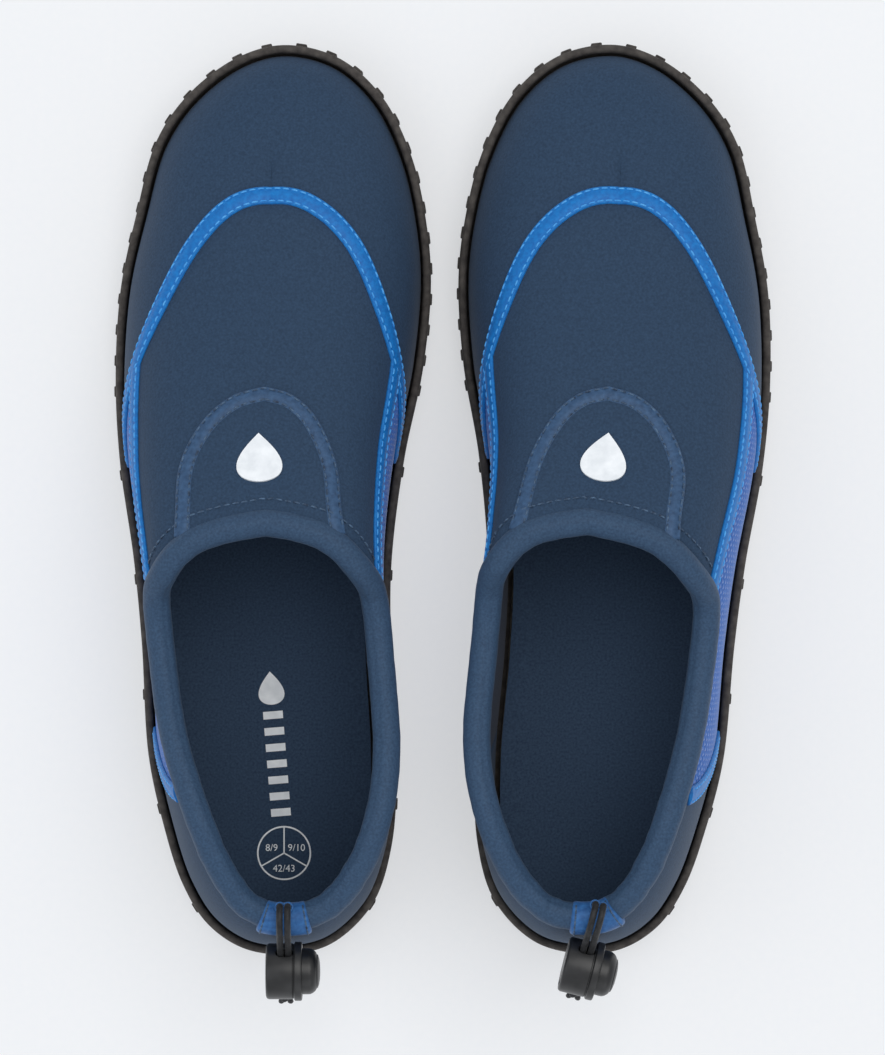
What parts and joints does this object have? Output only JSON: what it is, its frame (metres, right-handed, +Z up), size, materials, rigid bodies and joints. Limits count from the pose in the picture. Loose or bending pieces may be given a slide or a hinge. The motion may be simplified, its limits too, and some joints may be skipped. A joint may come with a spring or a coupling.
{
  "type": "pair of neoprene water shoes",
  "caption": "Pair of low slip-on neoprene water shoes with rubber cup soles, mesh sides, padded collars and an elastic drawcord with a cord lock at each heel.",
  "frame": {"origin": "on the ground under the middle of the two soles", "axes": "+Y points to the toes, +X from the left shoe to the right shoe, +Z up"},
  "size_m": [0.2082, 0.2971, 0.0807],
  "materials": {
    "rubber": "moulded, matt",
    "board": "pressed fibre board",
    "foam": "closed-cell foam",
    "insole": "flat knit textile",
    "neoprene": "jersey-faced neoprene",
    "mesh": "open knit mesh",
    "lining": "plain knit",
    "blue_tape": "satin sewn tape",
    "navy_tape": "satin sewn tape",
    "binding": "smooth stretch knit over foam",
    "print": "printed film",
    "cord": "braided elastic",
    "lock_plastic": "satin moulding",
    "spring_steel": "drawn wire"
  },
  "bodies": {
    "left_shoe": {"left_outsole": "rubber", "left_lasting_board": "board", "left_insole_foam": "foam", "left_insole_cover": "insole", "left_toe_panel": "neoprene", "left_instep_panel": "neoprene", "left_heel_panel": "neoprene", "left_mesh_panel_inner": "mesh", "left_mesh_lining_inner": "lining", "left_top_trim_inner": "blue_tape", "left_heel_trim_inner": "blue_tape", "left_mesh_panel_outer": "mesh", "left_mesh_lining_outer": "lining", "left_top_trim_outer": "blue_tape", "left_heel_trim_outer": "blue_tape", "left_arc_trim": "blue_tape", "left_cap_trim": "navy_tape", "left_instep_patch": "neoprene", "left_badge": "print", "left_collar_binding": "binding", "left_drawcord": "cord", "left_heel_tab": "blue_tape"},
    "right_shoe": {"right_outsole": "rubber", "right_lasting_board": "board", "right_insole_foam": "foam", "right_insole_cover": "insole", "right_toe_panel": "neoprene", "right_instep_panel": "neoprene", "right_heel_panel": "neoprene", "right_mesh_panel_inner": "mesh", "right_mesh_lining_inner": "lining", "right_top_trim_inner": "blue_tape", "right_heel_trim_inner": "blue_tape", "right_mesh_panel_outer": "mesh", "right_mesh_lining_outer": "lining", "right_top_trim_outer": "blue_tape", "right_heel_trim_outer": "blue_tape", "right_arc_trim": "blue_tape", "right_cap_trim": "navy_tape", "right_instep_patch": "neoprene", "right_badge": "print", "right_collar_binding": "binding", "right_drawcord": "cord", "right_heel_tab": "blue_tape"},
    "left_cord": {"left_cord_strand_a": "cord", "left_cord_strand_b": "cord", "left_cord_knot": "cord"},
    "left_lock": {"left_lock_barrel": "lock_plastic", "left_lock_spring": "spring_steel"},
    "left_button": {"left_lock_button": "lock_plastic"},
    "right_cord": {"right_cord_strand_a": "cord", "right_cord_strand_b": "cord", "right_cord_knot": "cord"},
    "right_lock": {"right_lock_barrel": "lock_plastic", "right_lock_spring": "spring_steel"},
    "right_button": {"right_lock_button": "lock_plastic"}
  },
  "joints": [
    {"name": "pair_apart", "type": "slide", "parent": "left_shoe", "child": "right_shoe", "axis": [1, 0, 0], "range_m": [0, 0.12]},
    {"name": "left_cord_swing", "type": "hinge", "parent": "left_shoe", "child": "left_cord", "pos_m": [-0.04825, -0.12827, 0.06375], "axis": [1, 0, 0], "range_deg": [-35, 8]},
    {"name": "left_lock_slide", "type": "slide", "parent": "left_cord", "child": "left_lock", "axis": [0, -0.7201, -0.6939], "range_m": [-0.0012, 0]},
    {"name": "left_button_press", "type": "slide", "parent": "left_lock", "child": "left_button", "axis": [-1, 0, 0], "range_m": [0, 0.0025], "stiffness_N_per_m": 1000},
    {"name": "right_cord_swing", "type": "hinge", "parent": "right_shoe", "child": "right_cord", "pos_m": [0.04623, -0.12774, 0.06363], "axis": [0.9699, -0.2436, 0], "range_deg": [-35, 8]},
    {"name": "right_lock_slide", "type": "slide", "parent": "right_cord", "child": "right_lock", "axis": [-0.1754, -0.6984, -0.6939], "range_m": [-0.0012, 0]},
    {"name": "right_button_press", "type": "slide", "parent": "right_lock", "child": "right_button", "axis": [-0.9699, 0.2436, 0], "range_m": [0, 0.0025], "stiffness_N_per_m": 1000}
  ]
}
